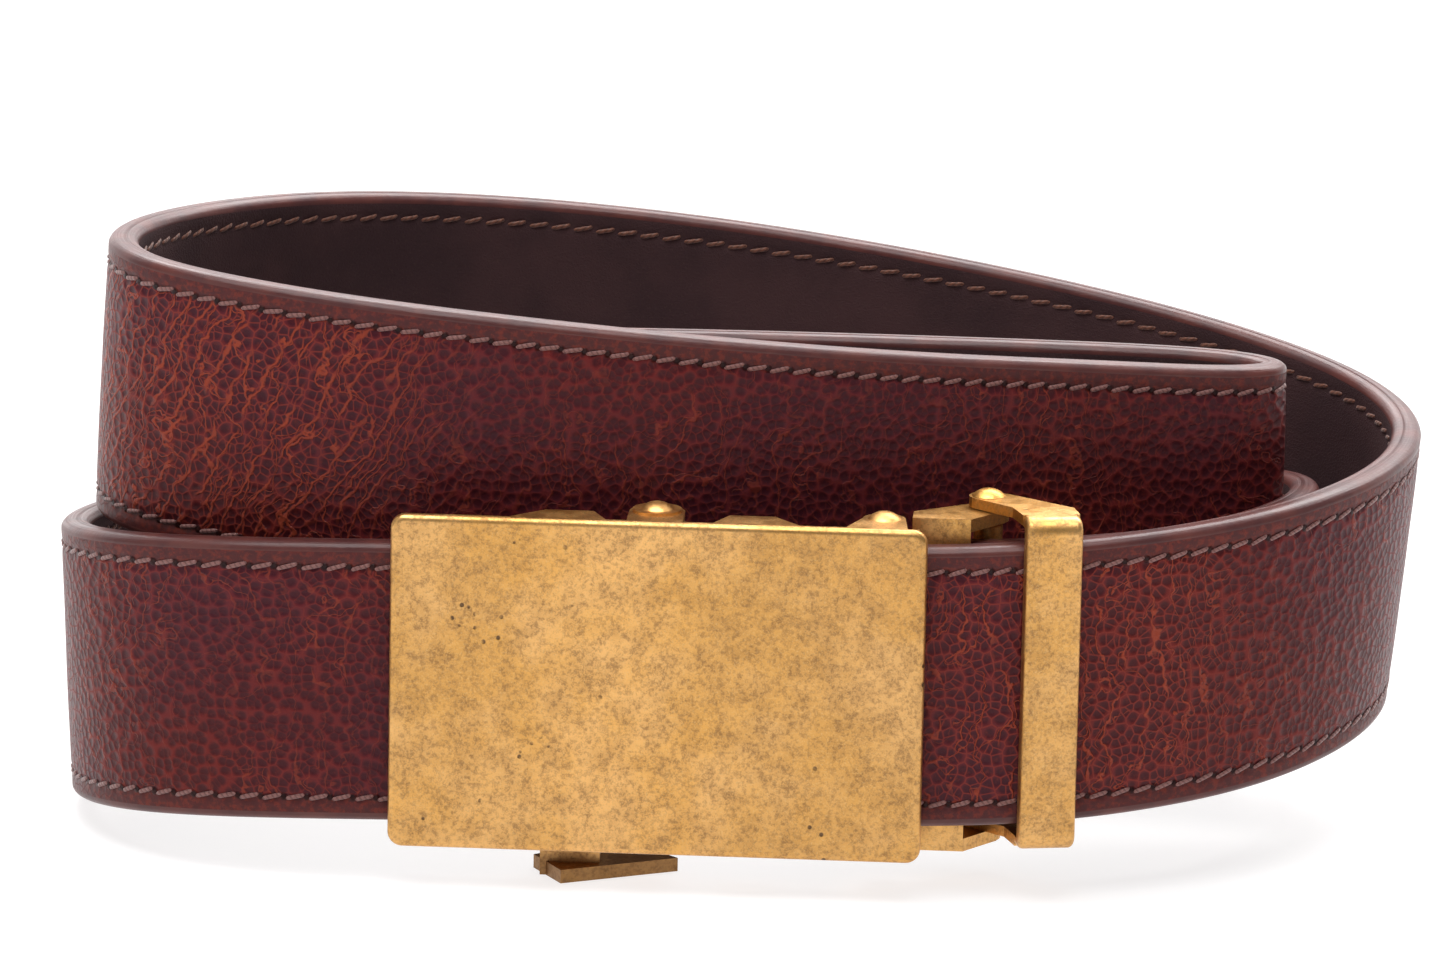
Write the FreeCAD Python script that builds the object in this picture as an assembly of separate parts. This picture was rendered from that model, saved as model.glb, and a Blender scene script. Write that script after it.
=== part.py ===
import FreeCAD, Part
import math
import os

# Leather ratchet belt, coiled and standing on its edge.  Millimetres, +Z up.
# It is laid out with X = 0 at the middle of the faceplate, Y = 0 on the faceplate's front and Z = 0 on the
# surface it stands on, then moved so that the origin is the middle of the bounding box's bottom face.

# ---- strap ----
STRAP_WIDTH = 35.0
STRAP_THICKNESS = 3.8
OUTER_THICKNESS = 1.8
CORE_THICKNESS = 0.6
CORE_MARGIN = 0.5           # the core stops this far inside both painted edges
EDGE_SAMPLES = 240          # spans along each long edge of a strap layer
STITCH_INSET = 3.0
THREAD_WIDTH = 0.7
THREAD_HEIGHT = 0.15

# The strap's middle line, from the clamped end to the tip, as the poles of a cubic B-spline: X, Y, the height
# of the strap's lower edge, and how far its width leans towards +X per unit of height.
STRAP_POLES = [
    (36, 9.9, 8.5, 0), (43, 9.9, 8.6, 0), (54, 12.6, 8.9, 0), (67, 21, 9, .02),
    (78, 38, 9, .04), (78.8, 60, 7, .04), (63, 75, 3, 0), (41, 79.5, 0.5, 0),
    (10, 81, 0, 0), (-20, 80, 0, 0), (-44, 76.5, 0, 0), (-63, 66, 0.1, -.02),
    (-74, 48, 0.6, -.04), (-74.5, 27, 2.6, -.04), (-65, 11, 5.4, -.03), (-50, 4.6, 7, 0),
    (-34, 4.1, 7.5, 0), (-16, 4.1, 7.8, 0), (4, 4.1, 8.3, 0), (24, 4.1, 8.7, 0),
    (42, 4.5, 9.2, 0), (58, 9, 10.2, .03), (74, 19, 11.6, .06), (86.5, 36.5, 13.8, .087),
    (89.5, 58, 15.5, .087), (79.5, 74.5, 18.7, .08), (58, 83.5, 23.2, .07), (32, 87.5, 27.6, .06),
    (5, 88.5, 31.4, .05), (-20, 86, 34.2, .05), (-41, 81, 35.8, .05), (-57, 71.5, 36.7, .05),
    (-69.5, 56, 37.2, .045), (-73, 38, 37.8, .045), (-68, 25, 37.6, .045), (-55, 18, 36.6, .04),
    (-38, 15, 35, .03), (-16, 15, 33, .02), (8, 18.5, 30.5, 0), (31, 25.5, 28, 0),
    (52, 33, 26.3, 0), (69, 36.5, 25.2, 0), (75.9, 42.5, 25, 0), (68, 49, 25, 0),
    (50, 50.5, 25, 0), (20, 51, 25, 0), (-12, 50, 25, 0), (-40, 47, 25, 0), (-62, 44, 25, 0)]

# ---- ratchet track, on the inner face of the last run ----
TRACK_WIDTH = 9.5
TRACK_BASE = 0.5
TOOTH_HEIGHT = 0.6
TOOTH_PITCH = 6.35
TRACK_TEETH = 17

# ---- faceplate and frame ----
PLATE_WIDTH = 65.2
PLATE_HEIGHT = 41.7
PLATE_BOTTOM = 5.0
PLATE_THICKNESS = 1.2
PLATE_CORNER = 1.8
PLATE_BEVEL = 0.8
SHEET_THICKNESS = 0.8
SHEET_INSET = 1.1
FLANGE_THICKNESS = 1.8
FLANGE_LOW = 2.8            # depth of the flange between its tabs
FLANGE_TAB = 7.2            # depth of the flange at its tabs

# ---- pins ----
PIN_DEPTH = 8.2
PAWL_PIN_X = -0.7
HINGE_PIN_X = 27.0
CLAMP_PIN_X = 39.5
CLAMP_PIN_Y = 14.1
PIN_RADIUS = 1.1
HEAD_RADIUS = 2.05
HEAD_HEIGHT = 0.9
RUNNING_FIT = 0.06
BARREL_RADIUS = 1.8
WASHER_RADIUS = 3.0
WASHER_HEIGHT = 0.35

# ---- clamp ----
ARM_THICKNESS = 1.6
LINK_WEB = 0.9
KEEPER_THICKNESS = 1.3
KEEPER_BAR_WIDTH = 7.0
KEEPER_BAR_THICKNESS = 1.8
KEEPER_BEND = 1.9           # outer radius where the bar turns into its arms
KEEPER_ROUNDING = 0.75      # radius along the bar's long edges
KEEPER_TURN = 12            # degrees by which the bar follows the strap's bend
KEEPER_CORNER_X = 44.6
KEEPER_CORNER_Y = 1.25

PLATE_TOP = PLATE_BOTTOM + PLATE_HEIGHT
SHEET_BACK = PLATE_THICKNESS + SHEET_THICKNESS
FLANGE_TOP = PLATE_TOP - 0.4
FLANGE_BOTTOM = PLATE_BOTTOM + 0.4
UPPER_FLANGE_UNDERSIDE = FLANGE_TOP - FLANGE_THICKNESS
LOWER_FLANGE_UPSIDE = FLANGE_BOTTOM + FLANGE_THICKNESS
UPPER_ARM_TOP = 46.8
LOWER_ARM_BOTTOM = 5.0
KEEPER_TOP = 48.2
KEEPER_BOTTOM = LOWER_ARM_BOTTOM + ARM_THICKNESS + 0.1


def vec(x, y, z=0.0):
    return FreeCAD.Vector(x, y, z)


# ---- the strap's path ----

def spline_point(t):
    """The cubic B-spline with clamped uniform knots at t in 0..1, as a 4-tuple."""
    spans = len(STRAP_POLES) - 3
    knots = [0.0] * 3 + [float(k) for k in range(spans + 1)] + [float(spans)] * 3
    u = t * spans
    k = min(int(u), spans - 1) + 3
    d = [list(STRAP_POLES[j]) for j in range(k - 3, k + 1)]
    for level in range(1, 4):
        for j in range(3, level - 1, -1):
            low = knots[j + k - 3]
            a = (u - low) / (knots[j + 1 + k - level] - low)
            d[j] = [(1 - a) * p + a * q for p, q in zip(d[j - 1], d[j])]
    return d[3]


def strap_frame(t):
    """Middle line point, outward normal and width direction at t."""
    step = 1e-4
    before = spline_point(max(0.0, t - step))
    after = spline_point(min(1.0, t + step))
    here = spline_point(t)
    along = (vec(*after[:3]) - vec(*before[:3])).normalize()
    normal = along.cross(vec(here[3], 0, 1)).normalize()
    return vec(*here[:3]), normal, normal.cross(along)


FRAMES = [strap_frame(i / EDGE_SAMPLES) for i in range(EDGE_SAMPLES + 1)]
EDGE_PARAMETERS = [float(i) for i in range(EDGE_SAMPLES + 1)]


def closed_solid(faces):
    skin = Part.makeCompound(faces)
    skin.sewShape()
    solid = Part.makeSolid(skin.Shells[0])
    if solid.Volume < 0:
        solid.reverse()
    return solid


def ribbon(n0, n1, w0, w1):
    """A solid along the whole strap, between normal offsets n0..n1 and width offsets w0..w1."""
    corners = [(n0, w0), (n1, w0), (n1, w1), (n0, w1)]
    edges = []
    rings = []
    for n, w in corners:
        points = [p + normal * n + width * w for p, normal, width in FRAMES]
        curve = Part.BSplineCurve()
        curve.interpolate(Points=points, Parameters=EDGE_PARAMETERS)
        edges.append(curve.toShape())
        rings.append(points)
    faces = [Part.makeRuledSurface(edges[i], edges[(i + 1) % 4]) for i in range(4)]
    for end in (0, -1):
        outline = [ring[end] for ring in rings]
        faces.append(Part.Face(Part.makePolygon(outline + outline[:1])))
    return closed_solid(faces)


HALF = STRAP_THICKNESS / 2
OUTER_SPLIT = HALF - OUTER_THICKNESS
CORE_SPLIT = OUTER_SPLIT - CORE_THICKNESS


def strap_outer_leather():
    return ribbon(OUTER_SPLIT, HALF, 0.0, STRAP_WIDTH)


def strap_core():
    return ribbon(CORE_SPLIT, OUTER_SPLIT, CORE_MARGIN, STRAP_WIDTH - CORE_MARGIN)


def strap_lining():
    return ribbon(-HALF, CORE_SPLIT, 0.0, STRAP_WIDTH)


def thread(inset_from_bottom, outer_face):
    low = inset_from_bottom - THREAD_WIDTH / 2
    high = inset_from_bottom + THREAD_WIDTH / 2
    if outer_face:
        return ribbon(HALF, HALF + THREAD_HEIGHT, low, high)
    return ribbon(-HALF - THREAD_HEIGHT, -HALF, low, high)


def ratchet_track():
    """A toothed strip on the lining of the last run, which is upright, so its outline is simply extruded."""
    spans = len(STRAP_POLES) - 3
    inner = []
    teeth = []
    t = 1.0 - 1.0 / spans
    for _ in range(TRACK_TEETH):
        step = 1e-3
        speed = (strap_frame(t - step)[0] - strap_frame(t)[0]).Length / step
        advance = TOOTH_PITCH / speed
        for part, height in ((0.0, TRACK_BASE), (0.08, TRACK_BASE + TOOTH_HEIGHT), (0.55, TRACK_BASE)):
            here, out, _ = strap_frame(t - advance * part)
            inner.append(here - out * HALF)
            teeth.append(here - out * (HALF + height))
        t -= advance
    low = (STRAP_WIDTH - TRACK_WIDTH) / 2
    outline = [p + vec(0, 0, low) for p in inner + teeth[::-1]]
    for p in outline:
        p.z = outline[0].z
    return Part.Face(Part.makePolygon(outline + outline[:1])).extrude(vec(0, 0, TRACK_WIDTH))


# ---- plates and pins ----

def plate(outline, bottom, height):
    points = [vec(x, y, bottom) for x, y in outline]
    return Part.Face(Part.makePolygon(points + points[:1])).extrude(vec(0, 0, height))


def rod(x, y, bottom, top, radius):
    return Part.makeCylinder(radius, top - bottom, vec(x, y, bottom))


def block(x0, x1, y0, y1, z0, z1):
    return Part.makeBox(x1 - x0, y1 - y0, z1 - z0, vec(x0, y0, z0))


def fuse(first, *others):
    return first.multiFuse(list(others)).removeSplitter()


def dome(x, y, z, up):
    """A domed rivet head that rests on height z and bulges up or down."""
    profile_radius = (HEAD_RADIUS ** 2 + HEAD_HEIGHT ** 2) / (2 * HEAD_HEIGHT)
    ball = Part.makeSphere(profile_radius, vec(x, y, z + up * (HEAD_HEIGHT - profile_radius)))
    slab = rod(x, y, min(z, z + up * HEAD_HEIGHT), max(z, z + up * HEAD_HEIGHT), HEAD_RADIUS)
    return ball.common(slab)


def rivet(x, y, bottom, top):
    """A plain pin with a domed head at each end."""
    body = rod(x, y, bottom, top, PIN_RADIUS)
    return fuse(body, dome(x, y, top, 1), dome(x, y, bottom, -1))


def faceplate():
    slab = block(-PLATE_WIDTH / 2, PLATE_WIDTH / 2, 0, PLATE_THICKNESS, PLATE_BOTTOM, PLATE_TOP)
    corners = [e for e in slab.Edges if abs(e.Length - PLATE_THICKNESS) < 1e-6]
    slab = slab.makeFillet(PLATE_CORNER, corners)
    front = [e for e in slab.Edges if e.BoundBox.YMax < 1e-6]
    return slab.makeFillet(PLATE_BEVEL, front)


def flange(bottom):
    """One side wall of the frame: low stretches, two tabs, the pawl pin's boss and the hinge ear."""
    left = -PLATE_WIDTH / 2 + SHEET_INSET
    outline = [(left, PLATE_THICKNESS), (-left, PLATE_THICKNESS), (-left, FLANGE_LOW), (22.5, FLANGE_LOW)]
    outline += [(17.0, FLANGE_LOW), (13.8, FLANGE_TAB), (8.2, FLANGE_TAB), (6.4, FLANGE_LOW)]
    outline += [(-6.6, FLANGE_LOW), (-8.4, FLANGE_TAB), (-14.2, FLANGE_TAB), (-18.5, FLANGE_LOW)]
    outline += [(left, FLANGE_LOW)]
    wall = plate(outline, bottom, FLANGE_THICKNESS)
    top = bottom + FLANGE_THICKNESS
    neck = block(PAWL_PIN_X - 3.4, PAWL_PIN_X + 3.4, PLATE_THICKNESS, PIN_DEPTH, bottom, top)
    boss = rod(PAWL_PIN_X, PIN_DEPTH, bottom, top, 3.4)
    stem = plate([(22.0, PLATE_THICKNESS), (30.2, PLATE_THICKNESS), (29.6, PIN_DEPTH), (24.4, PIN_DEPTH)],
                 bottom, FLANGE_THICKNESS)
    ear = rod(HINGE_PIN_X, PIN_DEPTH, bottom, top, 2.6)
    return fuse(wall, neck, boss, stem, ear)


def buckle_frame():
    left = -PLATE_WIDTH / 2 + SHEET_INSET
    sheet = block(left, -left, PLATE_THICKNESS, SHEET_BACK, FLANGE_BOTTOM, FLANGE_TOP)
    body = fuse(sheet, flange(FLANGE_BOTTOM), flange(UPPER_FLANGE_UNDERSIDE))
    for x in (PAWL_PIN_X, HINGE_PIN_X):
        body = body.cut(rod(x, PIN_DEPTH, 0, 60, PIN_RADIUS))
    return body


def pawl_pin():
    return rivet(PAWL_PIN_X, PIN_DEPTH, FLANGE_BOTTOM - WASHER_HEIGHT, FLANGE_TOP + WASHER_HEIGHT)


def pawl_pin_washers():
    rings = []
    for bottom in (FLANGE_BOTTOM - WASHER_HEIGHT, FLANGE_TOP):
        top = bottom + WASHER_HEIGHT
        ring = rod(PAWL_PIN_X, PIN_DEPTH, bottom, top, WASHER_RADIUS)
        rings.append(ring.cut(rod(PAWL_PIN_X, PIN_DEPTH, bottom - 1, top + 1, PIN_RADIUS)))
    return Part.makeCompound(rings)


def hinge_pin():
    return rivet(HINGE_PIN_X, PIN_DEPTH, FLANGE_BOTTOM, FLANGE_TOP)


PAWL_BARREL_TOP = 38.0
PAWL_LEFT = -15.5
PAWL_FRONT = 7.7
PAWL_THICKNESS = 1.4


def release_pawl():
    """The toothed plate on its barrel, and the thumb tab that reaches under the frame."""
    back = PAWL_FRONT + PAWL_THICKNESS
    barrel = rod(PAWL_PIN_X, PIN_DEPTH, LOWER_FLANGE_UPSIDE + 0.3, PAWL_BARREL_TOP, BARREL_RADIUS)
    leaf = block(PAWL_LEFT, PAWL_PIN_X, PAWL_FRONT, back, 14.0, PAWL_BARREL_TOP)
    pieces = [leaf]
    for x in (PAWL_LEFT, PAWL_LEFT + 2.2):
        pieces.append(plate([(x, PAWL_FRONT), (x + 0.4, 6.4), (x + 1.9, PAWL_FRONT)], 18.0, 16.0))
    pieces.append(block(-14.4, -7.0, PAWL_FRONT, back, 0.0, 14.0))
    tab = [(-11.5, 3.9), (2.4, 11.4), (1.2, 12.6), (-13.4, 12.6), (-15.4, 10.8)]
    pieces.append(plate(tab, 0.0, 1.7))
    body = fuse(barrel, *pieces)
    return body.cut(rod(PAWL_PIN_X, PIN_DEPTH, 5, 60, PIN_RADIUS + RUNNING_FIT))


def pawl_spring():
    """A torsion spring round the pawl pin, between the barrel and the upper flange."""
    wire_radius = 0.22
    coil_radius = 1.5
    bottom = PAWL_BARREL_TOP + 0.5
    path = Part.makeHelix(0.75, 5.25, coil_radius)
    ring = Part.Wire(Part.makeCircle(wire_radius, vec(coil_radius, 0, 0), vec(0, 1, 0)))
    coil = Part.Wire(path).makePipeShell([ring], True, True)
    coil.translate(vec(PAWL_PIN_X, PIN_DEPTH, bottom))
    return coil


# ---- strap clamp ----

def clamp_link():
    """The web in front of the strap's cut end, its knuckles on the hinge pin and its arms to the clamp pin."""
    web_front = 6.9
    web_back = web_front + LINK_WEB
    web_left = 30.5
    web_right = 37.6
    web = block(web_left, web_right, web_front, web_back, LOWER_ARM_BOTTOM, UPPER_ARM_TOP)
    pieces = []
    for bottom in (LOWER_FLANGE_UPSIDE + 0.15, UPPER_FLANGE_UNDERSIDE - 0.15 - 1.5):
        pieces.append(rod(HINGE_PIN_X, PIN_DEPTH, bottom, bottom + 1.5, BARREL_RADIUS))
        pieces.append(block(HINGE_PIN_X, web_left + 0.6, 6.9, PIN_DEPTH + 1.2, bottom, bottom + 1.5))
    for bottom in (LOWER_ARM_BOTTOM, UPPER_ARM_TOP - ARM_THICKNESS):
        arm = [(web_left, web_front), (web_right, web_front), (41.6, CLAMP_PIN_Y - 1.6),
               (38.0, CLAMP_PIN_Y + 2.0), (web_left, 10.4)]
        pieces.append(plate(arm, bottom, ARM_THICKNESS))
        pieces.append(rod(CLAMP_PIN_X, CLAMP_PIN_Y, bottom, bottom + ARM_THICKNESS, 2.5))
    body = fuse(web, *pieces)
    body = body.cut(rod(HINGE_PIN_X, PIN_DEPTH, 0, 60, PIN_RADIUS))
    return body.cut(rod(CLAMP_PIN_X, CLAMP_PIN_Y, 0, 60, PIN_RADIUS))


def clamp_pin():
    return rivet(CLAMP_PIN_X, CLAMP_PIN_Y, LOWER_ARM_BOTTOM, KEEPER_TOP + 0.05)


def clamp_jaw():
    """The toothed flap behind the strap's cut end, with a finger lip at its free end."""
    bottom = 9.5
    top = 42.5
    front = 12.9
    back = 14.2
    leaf = block(31.6, CLAMP_PIN_X, front, back, bottom, top)
    pieces = [rod(CLAMP_PIN_X, CLAMP_PIN_Y, 8.2, 44.6, BARREL_RADIUS)]
    for i in range(3):
        x = 31.8 + 1.6 * i
        pieces.append(plate([(x, front), (x + 0.7, 12.15), (x + 1.4, front)], bottom, top - bottom))
    pieces.append(plate([(31.6, front), (32.8, back), (30.6, 16.0), (29.6, 15.2)], bottom, top - bottom))
    body = fuse(leaf, *pieces)
    return body.cut(rod(CLAMP_PIN_X, CLAMP_PIN_Y, 0, 60, PIN_RADIUS + RUNNING_FIT))


def keeper_loop():
    """A flat strip bent round the front of the strap, its two arms pivoting on the clamp pin."""
    height = KEEPER_TOP - KEEPER_BOTTOM
    depth = 4.0
    bar = Part.makeBox(KEEPER_BAR_WIDTH, depth, height)
    bends = [e for e in bar.Edges if e.BoundBox.YMax < 1e-6 and abs(e.Length - KEEPER_BAR_WIDTH) < 1e-6]
    bar = bar.makeFillet(KEEPER_BEND, bends)
    sides = [e for e in bar.Edges if e.BoundBox.XLength < 1e-6 and e.BoundBox.YMin < depth - 1e-3
             and (e.BoundBox.YLength > 1e-6 or e.BoundBox.YMax < 1e-6)]
    bar = bar.makeFillet(KEEPER_ROUNDING, sides)
    room = vec(-1, KEEPER_BAR_THICKNESS, KEEPER_THICKNESS)
    bar = bar.cut(Part.makeBox(KEEPER_BAR_WIDTH + 2, depth, height - 2 * KEEPER_THICKNESS, room))
    bar.rotate(vec(0, 0), vec(0, 0, 1), KEEPER_TURN)
    corner = vec(KEEPER_CORNER_X, KEEPER_CORNER_Y)
    bar.translate(corner + vec(0, 0, KEEPER_BOTTOM))
    turn = math.radians(KEEPER_TURN)
    across = vec(math.cos(turn), math.sin(turn))
    inward = vec(-math.sin(turn), math.cos(turn))
    left = corner + inward * (depth - 1.0)
    right = left + across * KEEPER_BAR_WIDTH
    end = corner + inward * depth + across * KEEPER_BAR_WIDTH
    pieces = []
    for bottom in (KEEPER_BOTTOM, KEEPER_TOP - KEEPER_THICKNESS):
        arm = [(left.x, left.y), (right.x, right.y), (end.x, end.y), (end.x - 0.6, 9.0),
               (CLAMP_PIN_X + 2.2, CLAMP_PIN_Y + 1.4), (CLAMP_PIN_X - 2.0, CLAMP_PIN_Y - 1.4), (42.6, 8.2)]
        pieces.append(plate(arm, bottom, KEEPER_THICKNESS))
        pieces.append(rod(CLAMP_PIN_X, CLAMP_PIN_Y, bottom, bottom + KEEPER_THICKNESS, 2.4))
    body = fuse(bar, *pieces)
    return body.cut(rod(CLAMP_PIN_X, CLAMP_PIN_Y, 0, 60, PIN_RADIUS + RUNNING_FIT))


PARTS = {
    "strap_outer_leather": strap_outer_leather(),
    "strap_core": strap_core(),
    "strap_lining": strap_lining(),
    "upper_needle_thread": thread(STRAP_WIDTH - STITCH_INSET, True),
    "lower_needle_thread": thread(STITCH_INSET, True),
    "upper_bobbin_thread": thread(STRAP_WIDTH - STITCH_INSET, False),
    "lower_bobbin_thread": thread(STITCH_INSET, False),
    "ratchet_track": ratchet_track(),
    "faceplate": faceplate(),
    "buckle_frame": buckle_frame(),
    "pawl_pin": pawl_pin(),
    "pawl_pin_washers": pawl_pin_washers(),
    "pawl_spring": pawl_spring(),
    "release_pawl": release_pawl(),
    "hinge_pin": hinge_pin(),
    "clamp_link": clamp_link(),
    "clamp_pin": clamp_pin(),
    "clamp_jaw": clamp_jaw(),
    "keeper_loop": keeper_loop(),
}

whole = Part.makeCompound(list(PARTS.values())).optimalBoundingBox(True, False)
SHIFT = vec(-(whole.XMin + whole.XMax) / 2, -(whole.YMin + whole.YMax) / 2, 0)

os.makedirs("parts", exist_ok=True)
for name, shape in PARTS.items():
    shape.translate(SHIFT)
    shape.exportStep(f"parts/{name}.step")
    print(f"{name:22s} valid {shape.isValid()}  solids {len(shape.Solids)}  volume {shape.Volume:10.1f}")

print("box", [round(v, 3) for v in (whole.XMin, whole.XMax, whole.YMin, whole.YMax, whole.ZMin, whole.ZMax)])
print("shift", round(SHIFT.x, 3), round(SHIFT.y, 3))
for label, x, y in (("pawl pin", PAWL_PIN_X, PIN_DEPTH), ("hinge pin", HINGE_PIN_X, PIN_DEPTH),
                    ("clamp pin", CLAMP_PIN_X, CLAMP_PIN_Y), ("plate centre", 0, 0), ("back edge", -5, 80.5)):
    print(f"{label:12s} {x + SHIFT.x:8.3f} {y + SHIFT.y:8.3f}")
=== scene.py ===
import math

import bpy
import numpy as np
from mathutils import Matrix, Vector


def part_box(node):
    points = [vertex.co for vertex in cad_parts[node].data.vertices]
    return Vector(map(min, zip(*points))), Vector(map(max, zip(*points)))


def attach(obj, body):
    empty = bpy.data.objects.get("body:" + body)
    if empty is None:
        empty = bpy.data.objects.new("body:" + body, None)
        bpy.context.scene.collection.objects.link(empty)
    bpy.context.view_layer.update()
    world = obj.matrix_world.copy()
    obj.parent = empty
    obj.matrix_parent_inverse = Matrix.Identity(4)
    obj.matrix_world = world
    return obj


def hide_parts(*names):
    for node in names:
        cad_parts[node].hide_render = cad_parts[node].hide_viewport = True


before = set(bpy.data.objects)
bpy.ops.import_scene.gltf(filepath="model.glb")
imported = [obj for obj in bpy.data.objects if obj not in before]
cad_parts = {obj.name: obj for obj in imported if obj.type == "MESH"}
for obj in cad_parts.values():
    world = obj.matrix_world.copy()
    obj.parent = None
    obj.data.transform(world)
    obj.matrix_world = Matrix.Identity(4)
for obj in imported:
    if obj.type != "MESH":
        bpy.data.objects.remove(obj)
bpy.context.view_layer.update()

MM = 0.001

# The strap is laid out from the faceplate: its middle in X, its front in Y and the floor in Z.
PLATE_BOTTOM = 5.0          # height of the faceplate's lower edge over the floor, in millimetres
PLATE_LOW, PLATE_HIGH = (np.array(corner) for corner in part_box("faceplate"))
PLACE = np.array([(PLATE_LOW[0] + PLATE_HIGH[0]) / 2, PLATE_LOW[1], PLATE_LOW[2] - PLATE_BOTTOM * MM])

# ---- strap sizes, in millimetres ----
WIDTH = 35.0
HALF = 1.9                  # half the strap's thickness
SPLIT = -0.5                # where the core meets the lining, from the strap's middle
SHOULDER_IN = 1.3           # how far a rounded shoulder reaches in from the face
SHOULDER_ACROSS = 1.1       # and across the width
STITCH_INSET = 3.0
STITCH_PITCH = 2.8
THREAD_RADIUS = 0.28
SEAM_ENDS = 3.0             # plain leather at the seams' two ends together, besides the tip
TIP_TAPER = 9.0             # length over which the tip narrows
TIP_WIDTH = 0.62            # share of the width left at the very tip
LEFT_BEND = (682.0, 46.0)   # where the strap was bent at the upper left: distance along it, and reach
PLATE_BEND = (398.0, 30.0)  # and to the right of the faceplate

# ---- mesh fineness ----
PATH_STEPS = 12000          # steps in which the strap's length is measured
SAMPLES = 1500              # rings along the strap, less one
RIM_STEPS = 12              # points across the face from a shoulder to past the stitches
PAST_SEAM = 2.0             # how far past a seam those points go, in millimetres
MIDDLE_STEPS = 20           # points between the two seams
EDGE_STEPS = 6              # steps round each rounded shoulder
STITCH_STATIONS = 9         # rings along one stitch
STITCH_SIDES = 8            # points round one stitch

# Which side of the strap a thing is on, and which material slot a strap piece's face and edge use.
OUTER = 1.0
INNER = -1.0
FACE_SLOT = 0
EDGE_SLOT = 1

# The strap's middle line, as in the CAD model: poles of a cubic B-spline, each X, Y, lower edge and lean.
STRAP_POLES = [
    (36, 9.9, 8.5, 0), (43, 9.9, 8.6, 0), (54, 12.6, 8.9, 0), (67, 21, 9, .02),
    (77, 38, 9, .04), (78, 60, 7, .04), (63, 75, 3, 0), (41, 79.5, 0.5, 0),
    (10, 81, 0, 0), (-20, 80, 0, 0), (-44, 76.5, 0, 0), (-63, 66, 0.1, -.02),
    (-74, 48, 0.6, -.04), (-74.5, 27, 2.6, -.04), (-65, 11, 5.4, -.03), (-50, 4.6, 7, 0),
    (-34, 4.1, 7.5, 0), (-16, 4.1, 7.8, 0), (4, 4.1, 8.3, 0), (24, 4.1, 8.7, 0),
    (42, 4.5, 9.2, 0), (58, 9, 10.2, .03), (74, 19, 11.6, .06), (86.5, 36.5, 13.8, .087),
    (89.5, 58, 15.5, .087), (79.5, 74.5, 18.7, .08), (58, 83.5, 23.2, .07), (32, 87.5, 27.6, .06),
    (5, 88.5, 31.4, .05), (-20, 86, 34.2, .05), (-41, 81, 35.8, .05), (-57, 71.5, 36.7, .05),
    (-69.5, 56, 37.2, .045), (-73, 38, 37.8, .045), (-68, 25, 37.6, .045), (-55, 18, 36.6, .04),
    (-38, 15, 35, .03), (-16, 15, 33, .02), (8, 18.5, 30.5, 0), (31, 25.5, 28, 0),
    (52, 33, 26.3, 0), (69, 36.5, 25.2, 0), (76.2, 42.5, 25, 0), (68, 49, 25, 0),
    (50, 50.5, 25, 0), (20, 51, 25, 0), (-12, 50, 25, 0), (-40, 47, 25, 0), (-62, 44, 25, 0)]


# ---- camera ----

CAMERA_AZIMUTH = 3.2            # degrees to the right of straight ahead
CAMERA_ELEVATION = 13.0         # degrees
CAMERA_ROLL = 1.13              # degrees
CAMERA_AIM = (5.4, 40.0, 42.9)  # millimetres from the strap layout's origin
CAMERA_DISTANCE = 1.1           # metres
CAMERA_LENS = 218.4             # focal length in millimetres
CAMERA_SENSOR = 36.0


def make_camera():
    azimuth = math.radians(CAMERA_AZIMUTH)
    elevation = math.radians(CAMERA_ELEVATION)
    aim = Vector(CAMERA_AIM) * MM + Vector(PLACE)
    forward = Vector((-math.sin(azimuth) * math.cos(elevation),
                      math.cos(azimuth) * math.cos(elevation),
                      -math.sin(elevation)))
    data = bpy.data.cameras.new("camera")
    data.sensor_width = CAMERA_SENSOR
    data.lens = CAMERA_LENS
    data.clip_end = 20.0
    camera = bpy.data.objects.new("camera", data)
    bpy.context.collection.objects.link(camera)
    turn = forward.to_track_quat("-Z", "Y").to_matrix().to_4x4()
    roll = Matrix.Rotation(math.radians(CAMERA_ROLL), 4, "Z")
    camera.matrix_world = Matrix.Translation(aim - forward * CAMERA_DISTANCE) @ turn @ roll
    bpy.context.scene.camera = camera


make_camera()


# ---- the strap's path ----

def spline_points(t):
    """The clamped uniform cubic B-spline at every t in 0..1: an array of X, Y, lower edge and lean."""
    poles = np.array(STRAP_POLES, float)
    spans = len(poles) - 3
    knots = np.concatenate([[0.0] * 3, np.arange(spans + 1.0), [float(spans)] * 3])
    u = np.clip(t, 0.0, 1.0) * spans
    k = np.minimum(u.astype(int), spans - 1) + 3
    d = [poles[k - 3 + j] for j in range(4)]
    for level in range(1, 4):
        for j in range(3, level - 1, -1):
            low = knots[j + k - 3]
            a = ((u - low) / (knots[j + 1 + k - level] - low))[:, None]
            d[j] = (1 - a) * d[j - 1] + a * d[j]
    return d[3]


def path_frames():
    """Evenly spaced rings along the strap: distance, point, outward normal and width direction."""
    fine = np.linspace(0.0, 1.0, PATH_STEPS + 1)
    run = spline_points(fine)[:, :3]
    length = np.concatenate([[0.0], np.cumsum(np.linalg.norm(np.diff(run, axis=0), axis=1))])
    distance = np.linspace(0.0, length[-1], SAMPLES + 1)
    t = np.interp(distance, length, fine)
    here = spline_points(t)
    step = 1e-4
    along = spline_points(t + step)[:, :3] - spline_points(t - step)[:, :3]
    along /= np.linalg.norm(along, axis=1)[:, None]
    up = np.stack([here[:, 3], np.zeros(len(t)), np.ones(len(t))], axis=1)
    normal = np.cross(along, up)
    normal /= np.linalg.norm(normal, axis=1)[:, None]
    return distance, here[:, :3], normal, np.cross(normal, along)


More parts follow.
